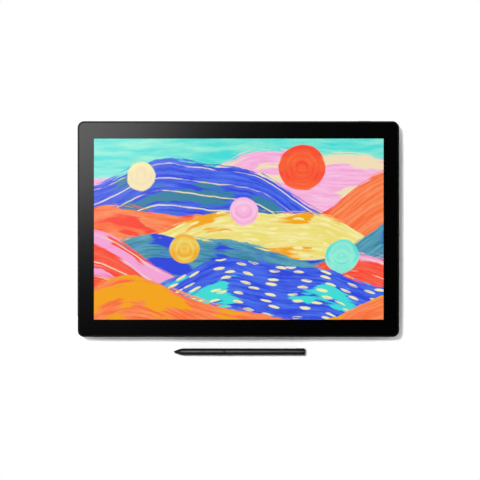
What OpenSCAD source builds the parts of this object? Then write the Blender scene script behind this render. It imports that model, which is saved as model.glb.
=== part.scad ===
// Pen display: a slim drawing tablet with a built-in screen, two fold-out legs and a cordless pen.
// Millimetres. X runs across the screen, Y up the screen and Z out of it.
// The origin is the centre of the four mounting bosses, on the flat back face.

/* [Screen] */
// Width of the lit picture
picture_w = 344.7; // [320:0.1:370]
// Height of the lit picture
picture_h = 215.4; // [200:0.1:232]
// Black border beside the picture, out to the side of the body
border_side = 19.1; // [17.5:0.1:24]
// Black border above and below the picture, out to the end of the body
border_end = 20.8; // [18.5:0.1:26]
// How far the panel reaches past the picture
panel_margin = 3.6; // [3:0.1:4.4]

/* [Screen layers] */
// Cover glass
glass_t = 1.1; // [0.7:0.1:2]
// Clear bond between glass and panel
bond_t = 0.2; // [0.1:0.05:0.3]
// Liquid crystal cell with its polarisers
cell_t = 1.3; // [0.8:0.1:2]
// Diffuser and prism films
film_t = 0.5; // [0.3:0.1:1]
// Light guide
guide_t = 2; // [1.5:0.1:3]
// Reflector behind the light guide
reflector_t = 0.2; // [0.1:0.05:0.4]
// Sheet metal of the panel tray
tray_t = 0.5; // [0.3:0.1:0.8]
// Pen sensor board
sensor_t = 0.8; // [0.5:0.1:1.6]
// Magnetic shield behind the sensor
shield_t = 0.4; // [0.2:0.1:0.8]
// Aluminium chassis plate
plate_t = 1.5; // [1:0.1:2.5]
// Adhesive tape between glass and frame
tape_t = 0.4; // [0.35:0.05:0.6]

/* [Body] */
// Corner radius of the body, seen from the front
body_r = 8; // [6:0.5:12]
// Corner radius of the flat back face
back_r = 16; // [12:0.5:20]
// How far the back edge curves in from the side
back_run = 18; // [14:0.5:22]
// Straight wall of the rear cover below the parting line
skirt = 0.85; // [0.5:0.05:2]
// Wall of the rear cover
wall = 1.8; // [1.5:0.1:2.4]
// Rim of the frame round the glass
rim_w = 1.6; // [1.3:0.1:2.4]
// Rounding of the rim's outer edge
rim_round = 1; // [0.4:0.1:1.2]
// How far the glass lies below the rim
glass_sink = 0.15; // [0.05:0.05:0.4]
// Outer wall of the frame
frame_wall = 2; // [1.6:0.1:2.6]
// Ledge of the frame under the glass
ledge_t = 1.6; // [1.2:0.1:2.2]
// Inner wall of the frame round the panel
inner_wall = 1.6; // [1.2:0.1:2.4]

/* [Feet] */
// How far the rubber feet lift the back off the desk
foot_proud = 2.2; // [1.5:0.1:4]
// How deep the feet sit in the back
foot_sink = 0.8; // [0.4:0.1:1]
// Width of a foot
foot_w = 8; // [6:0.5:10]
// Length of a foot at the lower edge
front_foot_l = 80; // [50:1:90]
// Length of a foot at the upper edge
rear_foot_l = 46; // [30:1:50]

/* [Legs] */
// Length of a leg from its hinge axis to its tip
leg_l = 84; // [74:1:95]
// Width of a leg
leg_w = 34; // [28:1:40]
// Thickness of a leg
leg_t = 6; // [5.2:0.1:7.5]
// Angle at which an opened leg meets its stop
leg_open = 80; // [70:1:86]
// From the side of the body to the leg
leg_edge = 34; // [33:0.5:45]
// From the upper end of the body to the hinge axis
hinge_back = 40; // [38:0.5:50]
// Hinge pin
pin_d = 3; // [2:0.1:3.6]
// Pin held on either side of the leg
pin_hold = 4.5; // [3:0.5:5]
// Outer skin of a leg
leg_skin = 2; // [1.4:0.1:2.6]
// Ribs and side walls of a leg
leg_rib = 2.5; // [1.5:0.1:4]
// Rubber tip of a leg
leg_foot_l = 8; // [6:0.5:12]
// Finger pocket past the tip of a leg, along the leg
finger_l = 13; // [10:0.5:18]
// Finger pocket past the tip of a leg, across the leg
finger_w = 22; // [18:0.5:26]

/* [Mounting] */
// Pitch of the mounting bosses
vesa = 75; // [75, 100]
// Mounting boss
boss_d = 8; // [7:0.5:10]
// Tapping hole of a mounting boss
vesa_hole_d = 3.3; // [3:0.1:4.2]
// Depth of that hole
vesa_depth = 7.5; // [5:0.5:8]

/* [Electronics] */
// Width of the main board
board_w = 104; // [100:1:130]
// Thickness of the main board
board_t = 1.6; // [1:0.1:2]
// Gap between the main board and the chassis plate
board_gap = 1.95; // [1.9:0.05:3]
// Height of a socket
port_h = 3.2; // [3:0.1:3.6]
// Pitch of the sockets
port_pitch = 19; // [16:0.5:20]
// Width of the socket bay
bay_w = 72; // [66:1:74]
// How far the socket bay reaches in from the upper end of the body
bay_depth = 22; // [20:0.5:26]
// Height of the socket bay from the back face
bay_h = 7.4; // [6.5:0.1:7.5]

/* [Power button] */
// From the middle of the body to the button
button_x = 150; // [130:1:160]
// Width of the button
button_w = 14; // [10:0.5:18]
// Height of the button
button_h = 2.6; // [2:0.1:2.8]
// How far the button stands out of the side
button_proud = 0.3; // [0.1:0.05:0.6]
// Travel of the button
button_travel = 0.5; // [0.3:0.05:0.6]

/* [Pen] */
// Length of the pen with its nib
pen_l = 156.8; // [145:0.1:170]
// Diameter of the pen
pen_d = 8.4; // [8.2:0.1:10]
// Wall of the pen's barrel
pen_wall = 0.9; // [0.7:0.05:1]
// Gap between the tablet and the pen lying below it
pen_gap = 13.8; // [5:0.1:40]
// How far the pen lies off the middle of the tablet
pen_shift = 0.9; // [-20:0.1:20]
// Length of the tapered front
cone_l = 10; // [7:0.1:14]
// Radius of the mouth of the tapered front
mouth_r = 1.25; // [1.15:0.05:1.6]
// Diameter of the nib
nib_d = 1.6; // [1.2:0.1:1.7]
// How far the nib stands out
nib_out = 1.6; // [1:0.1:2.5]
// Travel of the nib under full pressure
nib_travel = 0.35; // [0.2:0.05:0.6]
// From the tapered front to the first side switch
key_lead = 23.4; // [22.2:0.1:28]
// Length of a side switch
key_l = 12.3; // [8:0.1:16]
// Width of a side switch
key_w = 4.2; // [3.4:0.1:4.4]
// Travel of a side switch
key_travel = 0.35; // [0.2:0.05:0.5]
// Length of the tail cap
tail_l = 2.4; // [1.5:0.1:5]

/* [Hidden] */
$fn = 32;

// Clearances
glass_gap = 0.15;
panel_gap = 0.4;
tray_gap = 0.4;
leg_clear = 0.3;
pin_run = 0.05;
pin_seat = 0.03;
cover_gap = 0.2;
foot_gap = 0.1;
room_gap = 0.95;
plate_gap = 0.5;
floor_gap = 0.6;
thread_gap = 0.05;
press_gap = 0.1;

// How far a cutter runs past a face, and how far joined shapes reach into each other
over = 1;
join = 0.2;

// Body in plan
body_w = picture_w + 2 * border_side;
body_h = picture_h + 2 * border_end;
panel_w = picture_w + 2 * panel_margin;
panel_h = picture_h + 2 * panel_margin;
opening_w = panel_w + 2 * panel_gap;
opening_h = panel_h + 2 * panel_gap;
opening_r = 1.5;
panel_r = 1;
sheet_r = 0.5;
pocket_w = body_w - 2 * rim_w;
pocket_h = body_h - 2 * rim_w;
pocket_r = body_r - rim_w;

// Sheets in the tray stop short of the light strip along the lower edge
led_room = 2.4;
sheet_w = panel_w - 2 * tray_t - 2 * tray_gap;
sheet_h = panel_h - 2 * tray_t - tray_gap - led_room;
sheet_y = (led_room - tray_gap) / 2;

// Levels from the back face up to the rim
room_legs = leg_t + leg_clear + wall;
room_board = wall + floor_gap + port_h + board_t + board_gap;
plate_z = max(room_legs + room_gap, room_board);
split_z = plate_z + plate_t;
side_z = split_z - skirt;
sensor_z = split_z + shield_t;
tray_z = sensor_z + sensor_t;
reflector_z = tray_z + tray_t;
guide_z = reflector_z + reflector_t;
film_z = guide_z + guide_t;
cell_z = film_z + film_t;
bond_z = cell_z + cell_t;
glass_z = bond_z + bond_t;
top_z = glass_z + glass_t + glass_sink;
ledge_z = glass_z - tape_t;
roof_z = ledge_z - ledge_t;
desk_z = -foot_proud;

// Curved back edge and rounded rim
back_steps = 10;
rim_steps = 4;
shell_sides = 40;
back_curve = [for (i = [0:back_steps]) let (a = 90 * i / back_steps)
    [side_z * (1 - cos(a)), back_run * (1 - sin(a))]];
cavity_curve = [for (i = [0:back_steps]) let (a = 90 * i / back_steps)
    [side_z - (side_z - wall) * cos(a), wall + (back_run - wall) * (1 - sin(a))]];
rim_curve = [for (i = [0:rim_steps]) let (a = 90 * i / rim_steps)
    [top_z - rim_round * (1 - sin(a)), rim_round * (1 - cos(a))]];
function corner_r(inset) = body_r + (back_r - body_r) * inset / back_run;
function cavity_inset(z) =
    wall + (back_run - wall) * (1 - sqrt(1 - pow((side_z - z) / (side_z - wall), 2)));

// Chassis plate
plate_inset = cavity_inset(plate_z) + plate_gap;
plate_w = body_w - 2 * plate_inset;
plate_h = body_h - 2 * plate_inset;
plate_r = body_r - wall;

// Mounting bosses
vesa_places = [for (x = [-1, 1], y = [-1, 1]) [x * vesa / 2, y * vesa / 2]];

// Row of screws and feet along the flat back face
row_inset = 8;
row_x = body_w / 2 - back_run - row_inset;
row_y = body_h / 2 - back_run - row_inset;
screw_boss_r = 4.5;

// Legs
leg_x = body_w / 2 - leg_edge - leg_w / 2;
hinge_y = body_h / 2 - hinge_back;
hinge_z = leg_t / 2;
recess_top = leg_t / 2 + leg_clear;
pin_l = leg_w + 2 * leg_clear + 2 * pin_hold;
pin_wall = 3.5;
pin_block_r = pin_d / 2 + pin_wall;
leg_cells = 3;

// Case screws
head_r = 2.75;
head_h = 1.6;
head_seat = 2.5;
seat_t = 1.5;
well_gap = 0.45;
well_r = head_r + well_gap;
case_shaft_r = 1.45;
standoff_r = 3;
standoff_z = head_seat + seat_t;
top_screw_gap = 11;
top_screw_x = leg_x - leg_w / 2 - top_screw_gap;
bottom_screw_x = 56;
case_places = concat(
    [for (x = [-1, 1], y = [-1, 0, 1]) [x * row_x, y * row_y]],
    [for (x = [-1, 1]) [x * top_screw_x, row_y]],
    [for (x = [-1, 1]) [x * bottom_screw_x, -row_y]]);

// Frame screws
frame_head_r = 1.9;
frame_head_h = 0.9;
frame_shaft_r = 0.8;
frame_boss_r = 2.6;
frame_boss_gap = 2;
frame_inset = frame_wall + frame_boss_r + frame_boss_gap;
frame_side_step = 80;
frame_end_step = 110;
frame_places = concat(
    [for (x = [-1, 1], y = [-1, 0, 1]) [x * (body_w / 2 - frame_inset), y * frame_side_step]],
    [for (x = [-1, 1], y = [-1, 1]) [x * frame_end_step, y * (body_h / 2 - frame_inset)]]);

// Feet
front_foot_gap = 10;
rear_foot_gap = 4;
front_foot_x = bottom_screw_x + screw_boss_r + front_foot_gap + front_foot_l / 2;
rear_foot_x = top_screw_x - screw_boss_r - rear_foot_gap - rear_foot_l / 2;

// Electronics
bay_roof_t = 1.6;
bay_y = body_h / 2 - bay_depth;
bay_wall_y = bay_y - wall;
board_top = plate_z - board_gap;
board_z = board_top - board_t;
board_edge_gap = 0.2;
board_boss_gap = 8;
board_y1 = bay_wall_y - board_edge_gap;
board_y0 = vesa / 2 + boss_d / 2 + board_boss_gap;
port_z = board_z - port_h / 2;
port_l = 7.3;
port_sink = 0.3;
port_y = bay_y - port_sink;
usb_w = 9;
hdmi_w = 11.2;
hdmi_r = 0.8;
tongue_side = 1.2;
port_shell = 0.32;
port_slot = 0.15;
spacer_r = 2.8;
spacer_bore_r = 1;
board_head_r = 2.1;
board_head_h = 1.2;
spacer_side = 6;
spacer_low = 5;
spacer_high = 18;
board_places = [for (x = [-1, 1], y = [board_y0 + spacer_low, board_y1 - spacer_high])
    [x * (board_w / 2 - spacer_side), y]];
can_w = 46;
can_h = 30;
can_t = 2.6;
can_sheet = 0.3;
can_back = 28;
can_y = board_y1 - can_back;

// Ribbon cables
ribbon_t = 0.25;
ribbon_w = 10;
ribbon_side_gap = 2.2;
ribbon_grip = 4;
ribbon_inset = 7;
ribbon_bend = 1;
ribbon_room = 1;
ribbon_x = max(board_w / 2 - ribbon_inset, bay_w / 2 + wall + ribbon_side_gap + ribbon_w / 2);
notch_l = 3;
notch_w = ribbon_w + 2 * ribbon_room;
ribbon_y = panel_h / 2 - notch_l / 2;
ribbon_end = board_y1 - ribbon_grip;
plug_h = 0.8;
ribbon_z = board_top + plug_h;
button_ribbon_w = 5;
button_ribbon_back = 8;
button_plug_l = 4;
button_plug_in = 1;
button_ribbon_y = board_y1 - button_ribbon_back;

// Power button
button_z = (split_z + roof_z) / 2;
button_slot = 0.2;
flange_over = 1.2;
flange_side = 0.4;
button_flange_t = 0.8;
button_back_gap = 0.3;
button_flange_y = body_h / 2 - frame_wall - button_back_gap - button_flange_t;
stem_l = 1.2;
tact_y = button_flange_y - stem_l - button_travel - press_gap;
tact_l = 1.8;
button_board_t = 1;
button_board_y = tact_y - tact_l - button_board_t;

// Pen, along its own axis from the tip of the nib; its switches face up
pen_r = pen_d / 2;
pen_bore = pen_r - pen_wall;
pen_y = -(body_h / 2 + pen_gap + pen_r);
pen_z = desk_z + pen_r;
cone_end = nib_out + cone_l;
spigot_l = 5.6;
spigot_wall = 0.65;
spigot_gap = 0.05;
nib_gap = 0.15;
inner_gap = 0.2;
spigot_r = pen_bore - spigot_gap;
spigot_bore = spigot_r - spigot_wall;
throat_r = nib_d / 2 + nib_gap;
core_lead = 2;
core_tail = 8;
core_r = spigot_bore - inner_gap;
core_start = cone_end + core_lead;
core_end = cone_end + spigot_l + core_tail;
nib_tail = 1.5;
nib_end = core_end + nib_tail;
sensor_start = nib_end + nib_travel + press_gap;
sensor_l = 5;
sensor_end = sensor_start + sensor_l;
sensor_r = core_r - inner_gap;
carrier_start = cone_end + spigot_l + inner_gap;
carrier_gap = 0.1;
carrier_r = pen_bore - carrier_gap;
tail_spigot = 6;
tail_start = pen_l - tail_l;
carrier_end = tail_start - tail_spigot - inner_gap;
key_start = cone_end + key_lead;
keys = 2;
key_gap = 0.4;
key_front_end = 0.5;
key_rear_end = 1.5;
key_r = 0.5;
key_proud = 0.12;
key_side = 0.2;
key_over = 0.65;
key_flange_t = 0.6;
dome_h = 0.6;
dome_r = 1.4;
slot_l = keys * key_l + (keys - 1) * key_gap + key_front_end + key_rear_end;
slot_mid = key_start - key_front_end + slot_l / 2;
key_flange_half = key_w / 2 + key_over;
key_flange_gap = 0.15;
key_flange_top = sqrt(pow(pen_bore - key_flange_gap, 2) - pow(key_flange_half, 2));
key_base = key_flange_top - key_flange_t;
pen_board_top = key_base - key_travel - press_gap - dome_h;
pen_board_t = 0.8;
pen_board_w = 5.2;
bulkhead = 1;
pen_board_start = sensor_end + bulkhead + inner_gap;
pen_board_l = 76;
function key_mid(i) = key_start + key_l / 2 + i * (key_l + key_gap);
function key_lip(i) = i == keys - 1 ? key_rear_end + key_over : 0;

// Shared shapes

module rounded(w, h, r) {
    square([w - 2 * r, h], center = true);
    square([w, h - 2 * r], center = true);
    for (x = [-1, 1], y = [-1, 1])
        translate([x * (w / 2 - r), y * (h / 2 - r)]) circle(r);
}

module pill(l, w) {
    square([l - w, w], center = true);
    for (x = [-1, 1]) translate([x * (l - w) / 2, 0]) circle(w / 2);
}

module slab(w, h, r, z0, z1) {
    translate([0, 0, z0]) linear_extrude(z1 - z0) rounded(w, h, r);
}

module post(r, z0, z1) {
    translate([0, 0, z0]) cylinder(r = r, h = z1 - z0);
}

module block(x, y, z) {
    translate([x[0], y[0], z[0]]) cube([x[1] - x[0], y[1] - y[0], z[1] - z[0]]);
}

// A profile drawn in Y and Z, drawn out along X about the middle
module along_x(w) {
    rotate([90, 0, 90]) translate([0, 0, -w / 2]) linear_extrude(w) children();
}

// A profile drawn in X and Z, drawn out from y towards -Y
module along_y(y, l) {
    translate([0, y, 0]) rotate([90, 0, 0]) linear_extrude(l) children();
}

module at(places) {
    for (p = places) translate([p[0], p[1], 0]) children();
}

module both_sides(x) {
    for (s = [-1, 1]) translate([s * x, 0, 0]) children();
}

// Body outlines: a ring of points at each level of a curve, joined by faces

function ring(w, h, r, z) = [for (q = [0:3], i = [0:shell_sides / 4]) let (a = 90 * q + 360 * i / shell_sides)
    [(q % 3 == 0 ? 1 : -1) * (w / 2 - r) + r * cos(a), (q < 2 ? 1 : -1) * (h / 2 - r) + r * sin(a), z]];

module layered(levels, trim = 0) {
    rings = [for (l = levels)
        ring(body_w - 2 * l[1], body_h - 2 * l[1], corner_r(l[1] - trim) - trim, l[0])];
    n = len(rings[0]);
    last = len(rings) - 1;
    polyhedron(
        [for (r = rings) each r],
        concat(
            [[for (i = [0:n - 1]) i], [for (i = [1:n]) last * n + n - i]],
            [for (k = [0:last - 1], i = [0:n - 1]) let (j = (i + 1) % n)
                [k * n + i, (k + 1) * n + i, (k + 1) * n + j, k * n + j]]));
}

module cover_outline() {
    layered(concat(back_curve, [[split_z, 0]]));
}

module cover_cavity() {
    layered(concat(cavity_curve, [[split_z + over, wall]]), wall);
}

module frame_outline() {
    layered(concat([[split_z, 0]], rim_curve));
}

// Screen, from the glass down

module front_glass() {
    color("lightcyan")
        slab(pocket_w - 2 * glass_gap, pocket_h - 2 * glass_gap, pocket_r - glass_gap,
             glass_z, glass_z + glass_t);
}

module glass_tape() {
    edge = 0.6;
    color([0.05, 0.05, 0.05]) difference() {
        slab(pocket_w - 2 * edge, pocket_h - 2 * edge, pocket_r - edge, ledge_z, glass_z);
        slab(opening_w + 2 * edge, opening_h + 2 * edge, opening_r + edge, ledge_z - over, glass_z + over);
    }
}

module optical_bond() {
    edge = 1;
    color("azure") slab(panel_w - 2 * edge, panel_h - 2 * edge, sheet_r, bond_z, glass_z);
}

module lcd_cell() {
    color([0.1, 0.1, 0.14]) slab(panel_w, panel_h, panel_r, cell_z, bond_z);
}

module panel_tray() {
    color("silver") difference() {
        slab(panel_w, panel_h, panel_r, tray_z, cell_z);
        slab(panel_w - 2 * tray_t, panel_h - 2 * tray_t, panel_r - tray_t, reflector_z, cell_z + over);
    }
}

module sheet(z0, z1) {
    translate([0, sheet_y, 0]) slab(sheet_w, sheet_h, sheet_r, z0, z1);
}

module diffuser_films() {
    color("white") sheet(film_z, cell_z);
}

module light_guide() {
    color("honeydew") sheet(guide_z, film_z);
}

module reflector_sheet() {
    color("whitesmoke") sheet(reflector_z, guide_z);
}

module led_strip() {
    strip_t = 0.6;
    led = [3.2, 1.2, 1.4];
    leds = 36;
    strip_end = 2;
    strip_gap = 0.1;
    strip_l = sheet_w - 2 * strip_end;
    strip_y = -panel_h / 2 + tray_t + strip_gap;
    pitch = strip_l / leds;
    color("khaki") union() {
        block([-strip_l / 2, strip_l / 2], [strip_y, strip_y + strip_t], [reflector_z, film_z]);
        for (i = [0:leds - 1])
            translate([(i + 0.5 - leds / 2) * pitch - led[0] / 2, strip_y + strip_t, guide_z]) cube(led);
    }
}

module ribbon_notch(x, z0, z1) {
    block([x - notch_w / 2, x + notch_w / 2], [panel_h / 2 - notch_l, panel_h / 2 + over],
          [z0 - over, z1 + over]);
}

module sensor_board() {
    color("darkgreen") difference() {
        slab(panel_w, panel_h, panel_r, sensor_z, tray_z);
        ribbon_notch(ribbon_x, sensor_z, tray_z);
    }
}

module shield_plate() {
    color("slategray") difference() {
        slab(panel_w, panel_h, panel_r, split_z, sensor_z);
        for (s = [-1, 1]) ribbon_notch(s * ribbon_x, split_z, sensor_z);
    }
}

// Front frame: rim, ledge and a channel underneath that holds the screw bosses and the button's board

module frame_channel() {
    difference() {
        slab(body_w - 2 * frame_wall, body_h - 2 * frame_wall, body_r - frame_wall, split_z - over, roof_z);
        slab(opening_w + 2 * inner_wall, opening_h + 2 * inner_wall, opening_r + inner_wall,
             split_z - 2 * over, roof_z + over);
    }
}

module button_profile(grow) {
    translate([button_x, button_z]) pill(button_w + 2 * grow, button_h + 2 * grow);
}

module front_frame() {
    pilot_r = frame_shaft_r + thread_gap;
    pilot_end = 0.4;
    pilot_top = roof_z - pilot_end;
    color([0.09, 0.09, 0.1]) difference() {
        union() {
            difference() {
                frame_outline();
                slab(pocket_w, pocket_h, pocket_r, ledge_z, top_z + over);
                slab(opening_w, opening_h, opening_r, split_z - over, ledge_z + over);
                frame_channel();
            }
            at(frame_places) post(frame_boss_r, split_z, roof_z + join);
        }
        at(frame_places) post(pilot_r, split_z - over, pilot_top);
        along_y(body_h / 2 + over, frame_wall + 2 * over) button_profile(button_slot);
    }
}

// A screw seen from its head, with a hexagon socket
module screw(head_r, head_h, shaft_r, seat, end, socket) {
    post(shaft_r, seat - join, end);
    difference() {
        post(head_r, seat - head_h, seat);
        translate([0, 0, seat - head_h - over]) cylinder(r = socket[0], h = socket[1] + over, $fn = 6);
    }
}

module frame_screws() {
    socket = [0.8, 0.5];
    tip_gap = 0.6;
    color("gray") at(frame_places)
        screw(frame_head_r, frame_head_h, frame_shaft_r, plate_z, roof_z - tip_gap, socket);
}

// Chassis plate with pressed-in standoffs for the rear cover and spacers for the main board

module ribbon_slot(x) {
    half = 1.2;
    block([x - notch_w / 2, x + notch_w / 2], [ribbon_y - half, ribbon_y + half],
          [plate_z - over, split_z + over]);
}

module chassis_plate() {
    button_slot_w = button_ribbon_w + 2 * ribbon_room;
    slot_back = 1.6;
    slot_front = 0.4;
    thread_end = 0.4;
    spacer_end = 0.7;
    hole_gap = 0.3;
    color("lightsteelblue") difference() {
        union() {
            slab(plate_w, plate_h, plate_r, plate_z, split_z);
            at(case_places) post(standoff_r, standoff_z, plate_z + join);
            at(board_places) post(spacer_r, board_top, plate_z + join);
        }
        at(case_places) post(case_shaft_r + thread_gap, standoff_z - over, plate_z - thread_end);
        at(board_places) post(spacer_bore_r, board_top - over, split_z - spacer_end);
        at(frame_places) post(frame_shaft_r + hole_gap, plate_z - over, split_z + over);
        for (s = [-1, 1]) ribbon_slot(s * ribbon_x);
        translate([button_x, 0, 0])
            block([-button_slot_w / 2, button_slot_w / 2],
                  [button_board_y - slot_back, button_board_y + slot_front],
                  [plate_z - over, split_z + over]);
    }
}

module vesa_bosses() {
    color("goldenrod") at(vesa_places) difference() {
        post(boss_d / 2, 0, plate_z);
        post(vesa_hole_d / 2, -over, vesa_depth);
    }
}

// Main board and what is on it

module main_board() {
    hole_gap = 0.35;
    color("seagreen") difference() {
        block([-board_w / 2, board_w / 2], [board_y0, board_y1], [board_z, board_top]);
        at(board_places) post(spacer_bore_r + hole_gap, board_z - over, board_top + over);
    }
}

module chip(x, y, size, up) {
    z = up ? board_top : board_z - size[2];
    translate([x - size[0] / 2, y - size[1] / 2, z]) cube(size);
}

module board_chips() {
    main_chip = [16, 16, 1.4];
    main_x = -6;
    memory = [11, 8, 1.1];
    memory_x = 12;
    memory_y = 6;
    coil = [7, 7, 2.8];
    coil_x = board_w / 2 - 16;
    coil_rows = [-8, 2];
    plug_l = 2;
    button_plug = [button_plug_l, button_ribbon_w, board_gap - ribbon_t];
    color([0.15, 0.15, 0.16]) {
        chip(main_x, can_y, main_chip, false);
        for (s = [-1, 1]) chip(memory_x, can_y + s * memory_y, memory, false);
        for (s = [-1, 1], y = coil_rows) chip(s * coil_x, can_y + y, coil, false);
        for (s = [-1, 1]) chip(s * ribbon_x, ribbon_end + plug_l / 2, [ribbon_w, plug_l, plug_h], true);
        chip(ribbon_x - button_plug_in, button_ribbon_y, button_plug, true);
    }
}

module shield_can() {
    color("gainsboro") translate([0, can_y, 0]) difference() {
        block([-can_w / 2, can_w / 2], [-can_h / 2, can_h / 2], [board_z - can_t, board_z]);
        block([-can_w / 2 + can_sheet, can_w / 2 - can_sheet],
              [-can_h / 2 + can_sheet, can_h / 2 - can_sheet],
              [board_z - can_t + can_sheet, board_z + over]);
    }
}

module thermal_pad() {
    pad = 24;
    color("lightpink") translate([0, can_y, 0])
        block([-pad / 2, pad / 2], [-pad / 2, pad / 2], [board_top, plate_z]);
}

module board_screws() {
    socket = [0.9, 0.7];
    shaft_r = spacer_bore_r - thread_gap;
    into_plate = 0.4;
    color("gray") at(board_places)
        screw(board_head_r, board_head_h, shaft_r, board_z, plate_z + into_plate, socket);
}

// A socket is a drawn metal shell, closed at the back, with a contact tongue inside
module socket_body(tongue_w) {
    back = 0.8;
    tongue_t = 0.7;
    tongue_end = 1.2;
    difference() {
        along_y(port_y, port_l) children(0);
        along_y(port_y + over, port_l - back + over) children(1);
    }
    along_y(port_y - tongue_end, port_l - tongue_end - back / 2) translate([0, port_z])
        square([tongue_w, tongue_t], center = true);
}

module usb_c_ports() {
    inside = 2 * port_shell;
    color("silver") for (i = [-1, 0]) translate([i * port_pitch, 0, 0]) socket_body(usb_w - 2 * tongue_side) {
        translate([0, port_z]) pill(usb_w, port_h);
        translate([0, port_z]) pill(usb_w - inside, port_h - inside);
    }
}

module mini_hdmi_port() {
    inside = 2 * port_shell;
    color("silver") translate([port_pitch, 0, 0]) socket_body(hdmi_w - 2 * tongue_side) {
        translate([0, port_z]) rounded(hdmi_w, port_h, hdmi_r);
        translate([0, port_z]) rounded(hdmi_w - inside, port_h - inside, hdmi_r - port_shell);
    }
}

// Ribbon cables drop through the slots of the plate and run back to the main board

module dropped_ribbon(x, from_z) {
    bend_y = ribbon_y + ribbon_t - ribbon_bend;
    bend_z = ribbon_z + ribbon_bend;
    color("sandybrown") translate([x, 0, 0]) along_x(ribbon_w) {
        translate([ribbon_y, bend_z]) square([ribbon_t, from_z - bend_z]);
        translate([ribbon_end, ribbon_z]) square([bend_y - ribbon_end, ribbon_t]);
        translate([bend_y, bend_z]) difference() {
            intersection() {
                circle(ribbon_bend);
                translate([0, -ribbon_bend]) square(ribbon_bend);
            }
            circle(ribbon_bend - ribbon_t);
        }
    }
}

module panel_flex() {
    dropped_ribbon(ribbon_x, tray_z);
}

module sensor_flex() {
    dropped_ribbon(-ribbon_x, sensor_z);
}

module button_flex() {
    half = button_ribbon_w / 2;
    screw_clear = 2;
    turn_gap = 9;
    back_y = button_board_y - ribbon_t;
    run_y = (back_y + row_y) / 2 + screw_clear;
    turn_x = ribbon_x + ribbon_w / 2 + turn_gap;
    end_x = ribbon_x - button_plug_in - button_plug_l / 2;
    color("sandybrown") {
        translate([0, 0, plate_z - ribbon_t]) linear_extrude(ribbon_t) {
            translate([button_x - half, run_y - half])
                square([button_ribbon_w, button_board_y - run_y + half]);
            translate([turn_x - half, run_y - half])
                square([button_x - turn_x + button_ribbon_w, button_ribbon_w]);
            translate([turn_x - half, button_ribbon_y - half])
                square([button_ribbon_w, run_y - button_ribbon_y + button_ribbon_w]);
            translate([end_x, button_ribbon_y - half])
                square([turn_x + half - end_x, button_ribbon_w]);
        }
        block([button_x - half, button_x + half], [back_y, button_board_y], [plate_z - ribbon_t, button_z]);
    }
}

// Power button and its switch

module button_board() {
    board_l = 18;
    tact = [4.2, 2.6];
    plunger_l = 0.5;
    plunger_r = 0.9;
    color("seagreen") {
        block([button_x - board_l / 2, button_x + board_l / 2],
              [button_board_y, button_board_y + button_board_t], [split_z, roof_z]);
        block([button_x - tact[0] / 2, button_x + tact[0] / 2], [button_board_y, tact_y - plunger_l],
              [button_z - tact[1] / 2, button_z + tact[1] / 2]);
        along_y(tact_y, plunger_l + join) translate([button_x, button_z]) circle(plunger_r);
    }
}

module power_button() {
    flange_h = button_h + 2 * flange_side;
    stem_r = 1;
    front_y = body_h / 2 + button_proud;
    color([0.13, 0.13, 0.14]) {
        along_y(front_y, front_y - button_flange_y - join) button_profile(0);
        along_y(button_flange_y + button_flange_t, button_flange_t)
            translate([button_x, button_z]) square([button_w + 2 * flange_over, flange_h], center = true);
        along_y(button_flange_y + join, stem_l + join) translate([button_x, button_z]) circle(stem_r);
    }
}

// Rear cover: a curved shell with pockets for the legs, wells for the screws and an open bay for the sockets

module leg_pocket() {
    side = leg_w / 2 + leg_clear;
    tip = leg_l + leg_clear;
    z = [-hinge_z - over, recess_top + wall];
    block([-side - wall, side + wall], [-tip - wall, leg_t / 2 + leg_clear + wall], z);
    block([-finger_w / 2 - wall, finger_w / 2 + wall], [-tip - finger_l - wall, -tip], z);
    block([-side - pin_hold, side + pin_hold], [-pin_block_r, pin_block_r], z);
}

module leg_recess() {
    width = leg_w + 2 * leg_clear;
    tip = leg_l + leg_clear;
    half = leg_t / 2 + leg_clear;
    finger_r = 5;
    swing = 3 * leg_t;
    along_x(width) {
        circle(half);
        translate([-tip, -hinge_z - over]) square([tip, hinge_z + over + recess_top]);
        rotate(leg_open) translate([-swing, -half]) square([swing, 2 * half]);
    }
    translate([0, -tip - finger_l / 2 + finger_r, 0])
        slab(finger_w, finger_l + 2 * finger_r, finger_r, -hinge_z - over, recess_top);
}

module port_slots() {
    along_y(bay_y + over, wall + 2 * over) translate([0, port_z]) {
        for (i = [-1, 0]) translate([i * port_pitch, 0]) pill(usb_w + 2 * port_slot, port_h + 2 * port_slot);
        translate([port_pitch, 0])
            rounded(hdmi_w + 2 * port_slot, port_h + 2 * port_slot, hdmi_r + port_slot);
    }
}

module reveal_groove() {
    depth = 0.5;
    height = 0.35;
    difference() {
        slab(body_w + 2 * over, body_h + 2 * over, body_r + over, split_z - height, split_z + over);
        slab(body_w - 2 * depth, body_h - 2 * depth, body_r - depth,
             split_z - height - over, split_z + 2 * over);
    }
}

// Hollow of the cover, less the pockets, bosses and bay that stand in it
module cover_hollow() {
    difference() {
        cover_cavity();
        both_sides(leg_x) translate([0, hinge_y, hinge_z]) leg_pocket();
        at(case_places) post(screw_boss_r, 0, standoff_z);
        block([-bay_w / 2 - wall, bay_w / 2 + wall], [bay_wall_y, body_h], [0, bay_h + bay_roof_t]);
    }
}

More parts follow.
